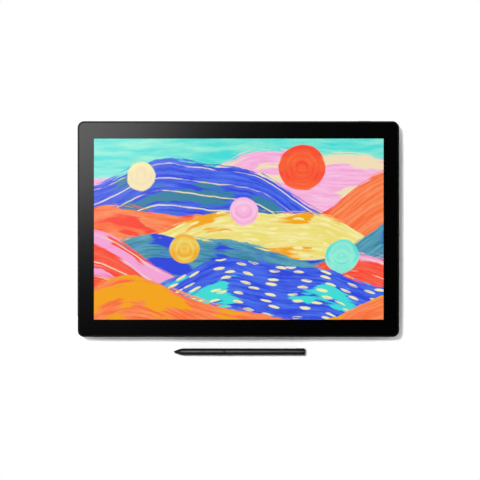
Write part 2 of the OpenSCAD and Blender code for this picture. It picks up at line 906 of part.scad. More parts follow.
module rear_cover() {
    hole_gap = 0.2;
    color([0.12, 0.12, 0.13]) difference() {
        cover_outline();
        cover_hollow();
        both_sides(leg_x) translate([0, hinge_y, hinge_z]) {
            leg_recess();
            along_x(pin_l + over) circle(pin_d / 2 + pin_seat);
        }
        at(case_places) {
            post(well_r, -over, head_seat);
            post(case_shaft_r + hole_gap, 0, standoff_z + over);
        }
        at(vesa_places) post(boss_d / 2 + cover_gap, -over, wall + over);
        block([-bay_w / 2, bay_w / 2], [bay_y, body_h], [-over, bay_h]);
        port_slots();
        foot_shape(front_foot_x, -row_y, front_foot_l, foot_gap, -over);
        foot_shape(rear_foot_x, row_y, rear_foot_l, foot_gap, -over);
        reveal_groove();
    }
}

module case_screws() {
    socket = [1.3, 1];
    tip_gap = 0.8;
    color("dimgray") at(case_places)
        screw(head_r, head_h, case_shaft_r, head_seat, plate_z - tip_gap, socket);
}

// Rubber feet, sunk into the back

module foot_shape(x, y, l, grow, low) {
    both_sides(x) translate([0, y, low]) linear_extrude(foot_sink - low)
        pill(l + 2 * grow, foot_w + 2 * grow);
}

module front_feet() {
    color([0.07, 0.07, 0.07]) foot_shape(front_foot_x, -row_y, front_foot_l, 0, desk_z);
}

module rear_feet() {
    color([0.07, 0.07, 0.07]) foot_shape(rear_foot_x, row_y, rear_foot_l, 0, desk_z);
}

// Fold-out legs, drawn about the hinge axis with the tip towards the lower edge

module at_hinge(side) {
    translate([side * leg_x, hinge_y, hinge_z]) children();
}

module leg() {
    plate_l = leg_l - leg_foot_l;
    cell_r = 1.5;
    first = leg_t / 2 + leg_rib;
    cell_l = (plate_l - first - leg_rib - (leg_cells - 1) * leg_rib) / leg_cells;
    color([0.12, 0.12, 0.13]) difference() {
        union() {
            along_x(leg_w) circle(leg_t / 2);
            block([-leg_w / 2, leg_w / 2], [-plate_l, 0], [-leg_t / 2, leg_t / 2]);
        }
        along_x(leg_w + 2 * over) circle(pin_d / 2 + pin_run);
        for (i = [0:leg_cells - 1])
            translate([0, -first - i * (cell_l + leg_rib) - cell_l / 2, 0])
                slab(leg_w - 2 * leg_rib, cell_l, cell_r, leg_skin - leg_t / 2, leg_t);
    }
}

module leg_foot() {
    color([0.07, 0.07, 0.07]) along_x(leg_w) {
        translate([-leg_l + leg_t / 2, 0]) circle(leg_t / 2);
        translate([-leg_l + leg_t / 2, -leg_t / 2]) square([leg_foot_l - leg_t / 2, leg_t]);
    }
}

module leg_pin() {
    color("lightgray") along_x(pin_l) circle(pin_d / 2);
}

// Pen, drawn along Z from the tip of the nib with its switches towards +X, then laid down along X

module lay_pen() {
    translate([pen_shift - pen_l / 2, pen_y, pen_z]) rotate([0, 90, 0]) rotate([0, 0, 180]) children();
}

// A rounded rectangle drawn out along +X, with its length along the pen
module key_prism(l, w, r, mid, x0, x1) {
    translate([x0, 0, mid]) rotate([0, 90, 0]) linear_extrude(x1 - x0) rounded(l, w, r);
}

module pen_barrel() {
    color([0.12, 0.12, 0.13]) lay_pen() difference() {
        post(pen_r, cone_end, tail_start);
        post(pen_bore, cone_end - over, tail_start + over);
        key_prism(slot_l, key_w + 2 * key_side, key_r + key_side, slot_mid, 0, pen_d);
    }
}

module pen_cone() {
    bulge = 0.15;
    steps = 6;
    seat_gap = 0.3;
    seat = core_start - seat_gap;
    flank = [for (i = [0:steps]) let (t = i / steps)
        [mouth_r + (pen_r - mouth_r) * (t + bulge * sin(180 * t)), nib_out + cone_l * t]];
    color([0.08, 0.08, 0.09]) lay_pen() rotate_extrude() polygon(concat(
        [[throat_r, nib_out]],
        flank,
        [[spigot_r, cone_end], [spigot_r, cone_end + spigot_l], [spigot_bore, cone_end + spigot_l],
         [spigot_bore, seat], [throat_r, seat - spigot_bore]]));
}

module pen_tail_cap() {
    chamfer = 0.35;
    color([0.08, 0.08, 0.09]) lay_pen() rotate_extrude() polygon([
        [0, tail_start - tail_spigot], [spigot_r, tail_start - tail_spigot], [spigot_r, tail_start],
        [pen_r, tail_start], [pen_r, pen_l - chamfer], [pen_r - chamfer, pen_l], [0, pen_l]]);
}

module pen_nib() {
    color([0.2, 0.2, 0.21]) lay_pen() {
        translate([0, 0, nib_d / 2]) sphere(nib_d / 2);
        post(nib_d / 2, nib_d / 2, nib_end);
    }
}

// Ferrite core, thicker in the middle where the coil is wound
module pen_core() {
    winding = 0.5;
    bare = 1;
    color("sienna") lay_pen() rotate_extrude() polygon([
        [throat_r, core_start], [core_r - winding, core_start], [core_r - winding, core_start + bare],
        [core_r, core_start + bare], [core_r, core_end - bare], [core_r - winding, core_end - bare],
        [core_r - winding, core_end], [throat_r, core_end]]);
}

module pen_pressure_sensor() {
    color("slateblue") lay_pen() post(sensor_r, sensor_start, sensor_end);
}

module pen_carrier() {
    seat_gap = 0.05;
    color([0.3, 0.3, 0.32]) lay_pen() difference() {
        post(carrier_r, carrier_start, carrier_end);
        post(core_r + seat_gap, carrier_start - over, core_end + seat_gap);
        post(throat_r, core_end - over, sensor_start + over);
        post(sensor_r + seat_gap, sensor_start - seat_gap, sensor_end + seat_gap);
        block([pen_board_top - pen_board_t, pen_d], [-pen_d, pen_d],
              [sensor_end + bulkhead, carrier_end + over]);
    }
}

module pen_board() {
    color("seagreen") lay_pen() {
        block([pen_board_top - pen_board_t, pen_board_top], [-pen_board_w / 2, pen_board_w / 2],
              [pen_board_start, pen_board_start + pen_board_l]);
        for (i = [0:keys - 1]) translate([0, 0, key_mid(i)]) rotate([0, 90, 0])
            post(dome_r, pen_board_top - join, pen_board_top + dome_h);
    }
}

// A side switch with the lip that holds it; the lip of the last one closes the gap behind it
module pen_switch(i) {
    lip = key_lip(i);
    color([0.1, 0.1, 0.11]) lay_pen() {
        intersection() {
            post(pen_r + key_proud, key_start - over, key_start + slot_l + over);
            key_prism(key_l, key_w, key_r, key_mid(i), key_base + join, pen_d);
        }
        key_prism(key_l + lip, 2 * key_flange_half, key_r, key_mid(i) + lip / 2, key_base, key_flange_top);
    }
}

front_glass();
glass_tape();
optical_bond();
lcd_cell();
diffuser_films();
light_guide();
led_strip();
reflector_sheet();
panel_tray();
sensor_board();
shield_plate();
front_frame();
chassis_plate();
frame_screws();
main_board();
board_chips();
shield_can();
thermal_pad();
board_screws();
usb_c_ports();
mini_hdmi_port();
panel_flex();
sensor_flex();
button_flex();
button_board();
power_button();
vesa_bosses();
rear_cover();
case_screws();
front_feet();
rear_feet();
at_hinge(-1) leg();  // left_leg
at_hinge(-1) leg_foot();  // left_leg_foot
at_hinge(-1) leg_pin();  // left_leg_pin
at_hinge(1) leg();  // right_leg
at_hinge(1) leg_foot();  // right_leg_foot
at_hinge(1) leg_pin();  // right_leg_pin
pen_barrel();
pen_cone();
pen_tail_cap();
pen_nib();
pen_core();
pen_pressure_sensor();
pen_carrier();
pen_board();
pen_switch(0);  // pen_switch_front
pen_switch(1);  // pen_switch_rear
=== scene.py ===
import math

import bmesh
import bpy
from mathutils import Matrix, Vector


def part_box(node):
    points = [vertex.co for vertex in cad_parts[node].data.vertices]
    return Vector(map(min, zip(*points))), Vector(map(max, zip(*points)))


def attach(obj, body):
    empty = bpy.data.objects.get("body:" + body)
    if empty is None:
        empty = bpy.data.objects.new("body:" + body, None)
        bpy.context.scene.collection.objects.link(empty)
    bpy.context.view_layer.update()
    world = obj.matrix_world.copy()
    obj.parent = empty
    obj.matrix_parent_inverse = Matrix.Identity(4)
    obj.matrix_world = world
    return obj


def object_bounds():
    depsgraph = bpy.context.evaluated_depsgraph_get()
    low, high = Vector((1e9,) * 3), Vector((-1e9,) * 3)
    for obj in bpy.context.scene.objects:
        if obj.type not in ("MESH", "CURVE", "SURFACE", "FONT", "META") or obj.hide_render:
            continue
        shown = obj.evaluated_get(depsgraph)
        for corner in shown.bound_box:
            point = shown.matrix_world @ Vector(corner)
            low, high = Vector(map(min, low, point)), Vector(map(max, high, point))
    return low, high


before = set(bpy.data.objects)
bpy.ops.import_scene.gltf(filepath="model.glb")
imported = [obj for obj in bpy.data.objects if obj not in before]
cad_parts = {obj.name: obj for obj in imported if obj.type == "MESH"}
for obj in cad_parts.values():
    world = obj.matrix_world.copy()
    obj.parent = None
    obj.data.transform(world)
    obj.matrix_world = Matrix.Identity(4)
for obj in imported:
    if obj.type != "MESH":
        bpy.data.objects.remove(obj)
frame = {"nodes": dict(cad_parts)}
cadBox = [list(corner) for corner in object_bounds()]
nodes = frame["nodes"]
scene = bpy.context.scene
print("frame loaded,", len(nodes), "CAD pieces")


# Small helpers for building node trees

def tint(red, green, blue):
    # a colour picked on screen, 0 to 255, as the linear colour of a socket
    shares = [part / 255 for part in (red, green, blue)]
    return (*[s / 12.92 if s < 0.04045 else ((s + 0.055) / 1.055) ** 2.4 for s in shares], 1)


def grey(level):
    return (level, level, level, 1)


def newFinish(name):
    material = bpy.data.materials.new(name)
    material.use_nodes = True
    material.node_tree.nodes.clear()
    return material, material.node_tree


def plug(tree, socket, value):
    if isinstance(value, bpy.types.NodeSocket):
        tree.links.new(value, socket)
    else:
        socket.default_value = value


def addNode(tree, kind, feeds=None, **settings):
    node = tree.nodes.new("ShaderNode" + kind)
    for name, value in settings.items():
        setattr(node, name, value)
    for key, value in (feeds or {}).items():
        plug(tree, node.inputs[key], value)
    return node


def calc(tree, operation, *values):
    node = addNode(tree, "Math", operation=operation)
    for socket, value in zip(node.inputs, values):
        plug(tree, socket, value)
    return node.outputs[0]


def times(tree, first, second):
    return calc(tree, "MULTIPLY", first, second)


def within(tree, value, half):
    # 1 where the value is less than half away from zero
    return calc(tree, "LESS_THAN", calc(tree, "ABSOLUTE", value), half)


def distance(tree, first, second):
    # how far two offsets lead from their middle
    squares = calc(tree, "ADD", times(tree, first, first), times(tree, second, second))
    return calc(tree, "SQRT", squares)


def spread(tree, value, fromLow, fromHigh, toLow=0.0, toHigh=1.0, smooth=False):
    feeds = {"Value": value, "From Min": fromLow, "From Max": fromHigh, "To Min": toLow, "To Max": toHigh}
    kind = "SMOOTHSTEP" if smooth else "LINEAR"
    return addNode(tree, "MapRange", feeds, interpolation_type=kind).outputs["Result"]


def mixColour(tree, share, under, over):
    # by number, since the Mix node has sockets of the same name for each kind of value
    return addNode(tree, "Mix", {0: share, 6: under, 7: over}, data_type="RGBA").outputs[2]


def mixShaders(tree, share, under, over):
    return addNode(tree, "MixShader", {0: share, 1: under, 2: over}).outputs["Shader"]


def seeThrough(tree):
    return addNode(tree, "BsdfTransparent").outputs["BSDF"]


def place(tree, scale=(1, 1, 1)):
    # the piece's own coordinates in metres, stretched
    spot = addNode(tree, "TexCoord").outputs["Object"]
    return addNode(tree, "Mapping", {"Vector": spot, "Scale": scale}).outputs["Vector"]


def split(tree, vector):
    return addNode(tree, "SeparateXYZ", {"Vector": vector}).outputs


def joined(tree, x, y, z):
    return addNode(tree, "CombineXYZ", {"X": x, "Y": y, "Z": z}).outputs["Vector"]


def noise(tree, spot, scale, detail=3.0, rough=0.5):
    feeds = {"Vector": spot, "Scale": scale, "Detail": detail, "Roughness": rough}
    return addNode(tree, "TexNoise", feeds).outputs[0]


def dents(tree, height, depth, strength=1.0):
    feeds = {"Height": height, "Distance": depth, "Strength": strength}
    return addNode(tree, "Bump", feeds).outputs["Normal"]


def surface(tree, shader):
    out = addNode(tree, "OutputMaterial")
    tree.links.new(shader, out.inputs["Surface"])


def principled(tree, feeds):
    return addNode(tree, "BsdfPrincipled", feeds).outputs["BSDF"]


# Finishes that several pieces share in kind

# how far up a seam of the pen begins, as a share of the bore, and how much duller the dull parts are
dullLook = {"from": 0.75, "added": 0.5}


def dullParts(tree, bore, seams):
    # 1 inside the pen, near its axis, and on the dull seams at the ends of its switches
    low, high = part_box("pen_barrel")
    spot = split(tree, place(tree))
    offY = calc(tree, "SUBTRACT", spot["Y"], (low.y + high.y) / 2)
    offZ = calc(tree, "SUBTRACT", spot["Z"], (low.z + high.z) / 2)
    dull = calc(tree, "LESS_THAN", distance(tree, offY, offZ), bore)
    top = calc(tree, "GREATER_THAN", offZ, bore * dullLook["from"])
    for middle, half in seams:
        seam = within(tree, calc(tree, "SUBTRACT", spot["X"], middle), half)
        dull = calc(tree, "MAXIMUM", dull, times(tree, seam, top))
    return dull


# size of the fine grain beside the pits, weight of the pits, span of the clouds' tones
grainLook = {"fine": 0.6, "pits": 0.7, "tones": (0.35, 0.65), "glossFrom": (0.6, 1.4)}


def mouldedPlastic(look):
    # spark-eroded mould grain: tiny pits under a faint cloudiness
    material, tree = newFinish(look["name"])
    spot = place(tree)
    pits = addNode(tree, "TexVoronoi", {"Vector": spot, "Scale": look["grain"]}).outputs["Distance"]
    fine = noise(tree, spot, look["grain"] * grainLook["fine"], detail=2.0)
    cloud = noise(tree, spot, look["cloud"], detail=4.0, rough=0.6)
    base = mixColour(tree, spread(tree, cloud, *grainLook["tones"]), look["colour"], look["pale"])
    gloss = spread(tree, calc(tree, "ADD", cloud, fine), *grainLook["glossFrom"], *look["gloss"])
    if "bore" in look:
        dull = dullParts(tree, look["bore"], look["seams"])
        gloss = calc(tree, "MULTIPLY_ADD", dull, dullLook["added"], gloss)
    height = calc(tree, "ADD", times(tree, pits, grainLook["pits"]), fine)
    surface(tree, principled(tree, {
        "Base Color": base, "Roughness": gloss, "Specular IOR Level": look["shine"],
        "Normal": dents(tree, height, look["depth"])}))
    return material


# size of the tone changes, span and weight of the dark streaks, strength of the bump
streakLook = {"cloud": 60.0, "tones": (0.3, 0.7), "dark": (0.45, 0.75), "darkMost": 0.35,
              "glossFrom": (0.25, 0.75), "bump": 0.6}


def drawnMetal(look):
    # rolled or drawn metal: long fine streaks, some of them darker, and a slight tone change
    material, tree = newFinish(look["name"])
    streak = noise(tree, place(tree, look["stretch"]), look["lines"], detail=5.0, rough=0.65)
    cloud = noise(tree, place(tree), streakLook["cloud"])
    base = mixColour(tree, spread(tree, cloud, *streakLook["tones"]), look["colour"], look["pale"])
    darker = spread(tree, streak, *streakLook["dark"], 0.0, streakLook["darkMost"])
    base = mixColour(tree, darker, base, look["dark"])
    gloss = spread(tree, streak, *streakLook["glossFrom"], *look["gloss"])
    surface(tree, principled(tree, {
        "Base Color": base, "Metallic": 1.0, "Roughness": gloss,
        "Normal": dents(tree, streak, look["depth"], streakLook["bump"])}))
    return material


def softRubber(look):
    # dull rubber with a dusting of pale specks and a fine skin
    material, tree = newFinish(look["name"])
    spot = place(tree)
    skin = noise(tree, spot, look["skin"], detail=4.0, rough=0.7)
    patches = noise(tree, spot, look["patches"])
    specks = spread(tree, noise(tree, spot, look["specks"], detail=1.0), *look["speckSpan"])
    base = mixColour(tree, spread(tree, patches, *look["patchSpan"]), look["colour"], look["pale"])
    base = mixColour(tree, times(tree, specks, look["dusting"]), base, look["dust"])
    gloss = spread(tree, skin, *look["skinSpan"], *look["gloss"])
    surface(tree, principled(tree, {
        "Base Color": base, "Roughness": gloss, "Specular IOR Level": look["shine"],
        "Normal": dents(tree, skin, look["depth"], look["bump"])}))
    return material


# width and softness of the tracks, how much they show, edge of the pads, gloss of the lacquer
trackLook = {"width": 0.012, "soft": 0.2, "show": 0.55, "pad": (0.12, 0.1), "cloud": 40.0,
             "glossFrom": (0.3, 0.7), "gloss": (0.32, 0.46), "depth": 0.00003, "bump": 0.8}


def solderMask(look):
    # lacquer over copper: runs of track, round pads and a satin surface
    material, tree = newFinish(look["name"])
    spot = place(tree)
    tracks = addNode(tree, "TexBrick", {
        "Vector": spot, "Scale": look["tracks"], "Mortar Size": trackLook["width"],
        "Mortar Smooth": trackLook["soft"],
        "Color1": grey(0.0), "Color2": grey(0.0), "Mortar": grey(1.0)}).outputs["Fac"]
    pads = addNode(tree, "TexVoronoi", {"Vector": spot, "Scale": look["pads"]}).outputs["Distance"]
    copper = calc(tree, "MAXIMUM", times(tree, tracks, trackLook["show"]),
                  spread(tree, pads, *trackLook["pad"]))
    cloud = noise(tree, spot, trackLook["cloud"])
    base = mixColour(tree, cloud, look["colour"], look["pale"])
    base = mixColour(tree, copper, base, look["copper"])
    gloss = spread(tree, cloud, *trackLook["glossFrom"], *trackLook["gloss"])
    surface(tree, principled(tree, {
        "Base Color": base, "Roughness": gloss,
        "Normal": dents(tree, copper, trackLook["depth"], trackLook["bump"])}))
    return material


# span in which the mottling works, and strength of its bump
sheetLook = {"span": (0.3, 0.7), "bump": 0.5}


def plainSheet(look):
    # a film, pad or resin skin: one colour with faint mottling and its own gloss
    material, tree = newFinish(look["name"])
    spot = place(tree, look.get("stretch", (1, 1, 1)))
    mottle = noise(tree, spot, look["mottle"], detail=4.0, rough=0.6)
    base = mixColour(tree, spread(tree, mottle, *sheetLook["span"]), look["colour"], look["pale"])
    gloss = spread(tree, mottle, *sheetLook["span"], *look["gloss"])
    surface(tree, principled(tree, {
        "Base Color": base, "Roughness": gloss,
        "Normal": dents(tree, mottle, look["depth"], sheetLook["bump"])}))
    return material


# size of the flecks, the span in which they show, gloss of the clear layers
clearLook = {"flecks": 700.0, "span": (0.7, 0.8), "roughness": 0.2}


def clearSheet(look):
    # a clear layer: mostly see-through, with a trace of tint and a few tiny flecks
    material, tree = newFinish(look["name"])
    flecks = noise(tree, place(tree), clearLook["flecks"], detail=2.0)
    flecks = spread(tree, flecks, *clearLook["span"])
    body = principled(tree, {
        "Base Color": mixColour(tree, flecks, look["colour"], look["pale"]),
        "Roughness": clearLook["roughness"]})
    share = calc(tree, "ADD", look["body"], times(tree, flecks, look["body"]))
    surface(tree, mixShaders(tree, share, seeThrough(tree), body))
    return material


# corners nearer than join are merged, faces within flat degrees become one, edges past sharp are rounded
edgeLook = {"join": 0.000001, "flat": 0.4, "sharp": 38, "segments": 2}


def dress(names, material, edge=0.0, shrink=0.0):
    # finish for CAD pieces, with a fine rounding on their sharp edges
    for name in names if isinstance(names, (list, tuple)) else [names]:
        piece = nodes[name]
        piece.data.materials.clear()
        piece.data.materials.append(material)
        piece.data.shade_smooth()
        weld = piece.modifiers.new("joinCorners", "WELD")
        weld.merge_threshold = edgeLook["join"]
        if shrink:
            inset = piece.modifiers.new("hairGap", "DISPLACE")
            inset.mid_level = 0.0
            inset.strength = -shrink
        flat = piece.modifiers.new("flatFaces", "DECIMATE")
        flat.decimate_type = "DISSOLVE"
        flat.angle_limit = math.radians(edgeLook["flat"])
        if edge:
            bevel = piece.modifiers.new("edgeRound", "BEVEL")
            bevel.width = edge
            bevel.segments = edgeLook["segments"]
            bevel.limit_method = "ANGLE"
            bevel.angle_limit = math.radians(edgeLook["sharp"])
            bevel.harden_normals = True
        smooth = piece.modifiers.new("evenShade", "WEIGHTED_NORMAL")
        smooth.keep_sharp = True


# Picture on the panel: rolling painted waves with suns, contour lines and short dashes

paints = {
    "blue": (45, 70, 220), "sky": (84, 124, 240), "teal": (55, 130, 160), "mist": (104, 176, 196),
    "orange": (250, 110, 55), "peach": (252, 156, 104), "red": (250, 70, 50), "coral": (250, 112, 84),
    "pink": (245, 165, 215), "rose": (251, 202, 230), "aqua": (65, 220, 215), "mint": (152, 238, 214),
    "yellow": (236, 220, 110), "lemon": (248, 238, 168), "amber": (245, 165, 20), "cream": (242, 222, 186),
}
pictureLook = {
    "width": 0.3447,
    "height": 0.2154,
    "shift": 0.0004,
    "glow": 1.0,
    "cell": grey(0.002),
    "roughness": 0.5,
    "sky": ("aqua", "mint"),
    # level at the middle, tilt, two swells of height, turns and start, colour, streak, patch colour, marks
    "bands": [
        (0.70, 0.05, (0.16, 1.9, 0.4), (0.05, 4.3, 1.2), "pink", "rose", "cream", None),
        (0.46, -0.10, (0.27, 1.6, 2.2), (0.04, 5.1, 0.3), "blue", "sky", "teal", "lines"),
        (0.22, 0.15, (0.24, 1.8, 4.0), (0.06, 3.9, 2.0), "orange", "peach", "red", None),
        (0.00, -0.10, (0.27, 1.4, 0.9), (0.04, 4.7, 3.1), "yellow", "lemon", "amber", "dashes"),
        (-0.16, 0.12, (0.22, 1.9, 3.2), (0.05, 4.1, 0.8), "teal", "mist", "blue", None),
        (-0.36, -0.12, (0.24, 1.7, 5.2), (0.05, 4.9, 1.9), "red", "coral", "pink", "lines"),
        (-0.56, 0.10, (0.24, 1.5, 1.7), (0.04, 5.3, 2.6), "blue", "sky", "aqua", "dashes"),
        (-0.80, -0.06, (0.17, 2.0, 3.8), (0.05, 4.4, 0.5), "orange", "peach", "amber", None),
    ],
    # place across and up, radius, colour, streak colour, the band that it stands behind
    "suns": [
        (0.70, 0.68, 0.26, "red", "orange", 1),
        (-1.08, 0.58, 0.17, "cream", "lemon", 2),
        (0.06, 0.20, 0.16, "rose", "pink", 4),
        (-0.60, -0.22, 0.17, "amber", "yellow", 6),
        (1.14, -0.30, 0.19, "mint", "aqua", 6),
    ],
}
# stretch of the strokes across and down a slope, their scale, the span in which they show, and how far
# they move on from band to band
streakBrush = {"stretch": (1.5, 17.0), "scale": 1.7, "span": (0.40, 0.66), "step": 3.7}
patchBrush = {"stretch": (1.1, 2.6), "scale": 1.4, "span": (0.72, 0.76), "start": 9.1, "step": 2.3,
              "torn": 0.35}
crestBrush = {"torn": 0.22, "soft": 0.014}
lineBrush = {"colour": "cream", "start": 0.09, "gap": 0.075, "width": (0.010, 0.004),
             "broken": (0.42, 0.54)}
dashBrush = {"colour": "lemon", "stretch": (3.6, 13.0), "scatter": 0.7, "size": (0.24, 0.18),
             "broken": (0.36, 0.48)}
sunBrush = {"stretch": (16.0, 5.0), "scale": 1.3, "span": (0.38, 0.66), "torn": 0.03,
            "rim": (0.016, 0.004)}
skyBrush = {"stretch": 7.0, "scale": 1.5, "span": (0.38, 0.66)}
wobbleBrush = {"scale": 38.0, "width": 0.05}


def paint(name):
    return tint(*paints[name])


def stretched(tree, first, second, brush, layer):
    wide, deep = brush["stretch"]
    return joined(tree, times(tree, first, wide), times(tree, second, deep), layer)


def paintBand(tree, across, up, band, index, canvas):
    level, tilt, swell, ripple, colour, streakColour, patchColour, marks = band
    crest = calc(tree, "MULTIPLY_ADD", across, tilt, level)
    for height, turns, start in (swell, ripple):
        wave = calc(tree, "SINE", calc(tree, "MULTIPLY_ADD", across, turns, start))
        crest = calc(tree, "MULTIPLY_ADD", wave, height, crest)
    depth = calc(tree, "SUBTRACT", crest, up)
    strokes = stretched(tree, across, depth, streakBrush, streakBrush["step"] * index)
    streak = noise(tree, strokes, streakBrush["scale"], detail=6.0, rough=0.66)
    broad = stretched(tree, across, depth, patchBrush, patchBrush["start"] + patchBrush["step"] * index)
    patch = noise(tree, broad, patchBrush["scale"], detail=2.0)
    patch = calc(tree, "MULTIPLY_ADD", streak, patchBrush["torn"], patch)
    paler = spread(tree, streak, *streakBrush["span"])
    colours = mixColour(tree, paler, paint(colour), paint(streakColour))
    colours = mixColour(tree, spread(tree, patch, *patchBrush["span"]), colours, paint(patchColour))
    if marks == "lines":
        turn = calc(tree, "PINGPONG", calc(tree, "ADD", depth, lineBrush["start"]), lineBrush["gap"])
        broken = spread(tree, streak, *lineBrush["broken"])
        mark = times(tree, spread(tree, turn, *lineBrush["width"]), broken)
        colours = mixColour(tree, mark, colours, paint(lineBrush["colour"]))
    if marks == "dashes":
        rows = stretched(tree, across, depth, dashBrush, 0.0)
        feeds = {"Vector": rows, "Scale": 1.0, "Randomness": dashBrush["scatter"]}
        spots = addNode(tree, "TexVoronoi", feeds, voronoi_dimensions="2D").outputs["Distance"]
        broken = spread(tree, streak, *dashBrush["broken"])
        mark = times(tree, spread(tree, spots, *dashBrush["size"]), broken)
        colours = mixColour(tree, mark, colours, paint(dashBrush["colour"]))
    edge = calc(tree, "MULTIPLY_ADD", calc(tree, "SUBTRACT", streak, 0.5), crestBrush["torn"], depth)
    return mixColour(tree, spread(tree, edge, 0.0, crestBrush["soft"]), canvas, colours)


def paintSun(tree, across, up, sun, canvas):
    midAcross, midUp, radius, colour, streakColour = sun
    offAcross = calc(tree, "SUBTRACT", across, midAcross)
    offUp = calc(tree, "SUBTRACT", up, midUp)
    away = distance(tree, offAcross, offUp)
    rings = stretched(tree, away, offUp, sunBrush, midAcross)
    streak = noise(tree, rings, sunBrush["scale"], detail=4.0, rough=0.6)
    paler = spread(tree, streak, *sunBrush["span"])
    colours = mixColour(tree, paler, paint(colour), paint(streakColour))
    edge = calc(tree, "MULTIPLY_ADD", streak, sunBrush["torn"], away)
    outer, inner = [radius + rim for rim in sunBrush["rim"]]
    return mixColour(tree, spread(tree, edge, outer, inner), canvas, colours)


def pictureSpot(tree):
    # metres across and up from the middle of the picture
    spot = split(tree, place(tree))
    return calc(tree, "SUBTRACT", spot["X"], pictureLook["shift"]), spot["Y"]


def overPicture(tree):
    # 1 where the picture is
    spotX, spotY = pictureSpot(tree)
    inWidth = within(tree, spotX, pictureLook["width"] / 2)
    inHeight = within(tree, spotY, pictureLook["height"] / 2)
    return times(tree, inWidth, inHeight)


def pictureFinish():
    material, tree = newFinish("lit panel picture")
    half, width = pictureLook["height"] / 2, wobbleBrush["width"]
    feeds = {"Vector": place(tree), "Scale": wobbleBrush["scale"], "Detail": 2.0}
    drift = addNode(tree, "TexNoise", feeds).outputs["Color"]
    sways = addNode(tree, "SeparateColor", {"Color": drift}).outputs
    spots = []
    for spot, sway in zip(pictureSpot(tree), sways):
        # in halves of the picture's height, with an uneven hand
        steady = calc(tree, "SUBTRACT", times(tree, spot, 1 / half), width / 2)
        spots.append(calc(tree, "MULTIPLY_ADD", sway, width, steady))
    across, up = spots
    sweep = joined(tree, across, times(tree, up, skyBrush["stretch"]), 0.0)
    streak = noise(tree, sweep, skyBrush["scale"], detail=5.0, rough=0.6)
    paler = spread(tree, streak, *skyBrush["span"])
    canvas = mixColour(tree, paler, *[paint(name) for name in pictureLook["sky"]])
    for index, band in enumerate(pictureLook["bands"]):
        for *sun, behind in pictureLook["suns"]:
            if behind == index:
                canvas = paintSun(tree, across, up, sun, canvas)
        canvas = paintBand(tree, across, up, band, index, canvas)
    facing = split(tree, addNode(tree, "NewGeometry").outputs["Normal"])
    front = calc(tree, "GREATER_THAN", facing["Z"], 0.5)  # not on the cell's sides and back
    lit = times(tree, overPicture(tree), front)
    surface(tree, principled(tree, {
        "Base Color": pictureLook["cell"], "Roughness": pictureLook["roughness"], "Specular IOR Level": 0.0,
        "Emission Color": mixColour(tree, lit, grey(0.0), canvas),
        "Emission Strength": pictureLook["glow"]}))
    return material


dress("lcd_cell", pictureFinish())
print("picture painted on the panel")


# Cover glass, etched against glare, and the black print of its border, which carries the gloss there

glassLook = {"roughness": 0.22, "smear": 0.04, "smears": 9.0, "stretch": (1, 2.2, 1), "index": 1.3,
             "etch": 3800.0, "depth": 0.000002, "bump": 0.4}


def glassGloss(tree):
    smear = noise(tree, place(tree, glassLook["stretch"]), glassLook["smears"], detail=4.0, rough=0.6)
    off = calc(tree, "SUBTRACT", smear, 0.5)
    return calc(tree, "MULTIPLY_ADD", off, glassLook["smear"], glassLook["roughness"])


def glassEtch(tree):
    pits = noise(tree, place(tree), glassLook["etch"], detail=2.0)
    return dents(tree, pits, glassLook["depth"], glassLook["bump"])


def glassFinish():
    material, tree = newFinish("etched cover glass")
    mirror = principled(tree, {
        "Base Color": grey(1.0), "Metallic": 1.0, "Roughness": glassGloss(tree), "Normal": glassEtch(tree)})
    bounce = addNode(tree, "Fresnel", {"IOR": glassLook["index"]}).outputs["Fac"]
    outside = calc(tree, "SUBTRACT", 1.0, addNode(tree, "NewGeometry").outputs["Backfacing"])
    share = times(tree, times(tree, bounce, outside), overPicture(tree))
    surface(tree, mixShaders(tree, share, seeThrough(tree), mirror))
    return material


dress("front_glass", glassFinish(), edge=0.00025, shrink=0.000005)

printLook = {"inset": 0.0003, "window": 0.0003, "depth": 0.00005, "thick": 0.00002, "corner": 0.0061,
             "steps": 12, "colour": grey(0.0004), "pale": grey(0.0008), "mottle": 900.0}


def ringOutline(halfWidth, halfHeight, radius, steps):
    points = []
    for quarter, (sx, sy) in enumerate(((1, 1), (-1, 1), (-1, -1), (1, -1))):
        for step in range(steps + 1):
            angle = math.radians(90 * (quarter + step / steps))
            points.append((sx * (halfWidth - radius) + radius * math.cos(angle),
                           sy * (halfHeight - radius) + radius * math.sin(angle)))
    return points


def printFinish():
    material, tree = newFinish("black border print")
    mottle = noise(tree, place(tree), printLook["mottle"])
    surface(tree, principled(tree, {
        "Base Color": mixColour(tree, mottle, printLook["colour"], printLook["pale"]),
        "Roughness": glassGloss(tree), "IOR": glassLook["index"], "Normal": glassEtch(tree)}))
    return material


def printedBorder():
    # close under the face, so that slanted views show no clear margin beside it
    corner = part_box("front_glass")[1]
    inset, window, steps = printLook["inset"], printLook["window"], printLook["steps"]
    outer = ringOutline(corner.x - inset, corner.y - inset, printLook["corner"], steps)
    inner = ringOutline(pictureLook["width"] / 2 + window, pictureLook["height"] / 2 + window, window, steps)
    inner = [(x + pictureLook["shift"], y) for x, y in inner]
    base = corner.z - printLook["depth"]
    top = base + printLook["thick"]
    mesh = bmesh.new()
    rings = [[mesh.verts.new((x, y, z)) for x, y in line]
             for line, z in ((outer, base), (inner, base), (inner, top), (outer, top))]
    count = len(outer)
    for ring, following in zip(rings, rings[1:] + rings[:1]):
        for i in range(count):
            mesh.faces.new((ring[i], ring[(i + 1) % count], following[(i + 1) % count], following[i]))
    bmesh.ops.recalc_face_normals(mesh, faces=mesh.faces)
    data = bpy.data.meshes.new("printed_border")
    mesh.to_mesh(data)
    mesh.free()
    data.materials.append(printFinish())
    border = bpy.data.objects.new("printed_border", data)
    scene.collection.objects.link(border)
    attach(border, "tablet")


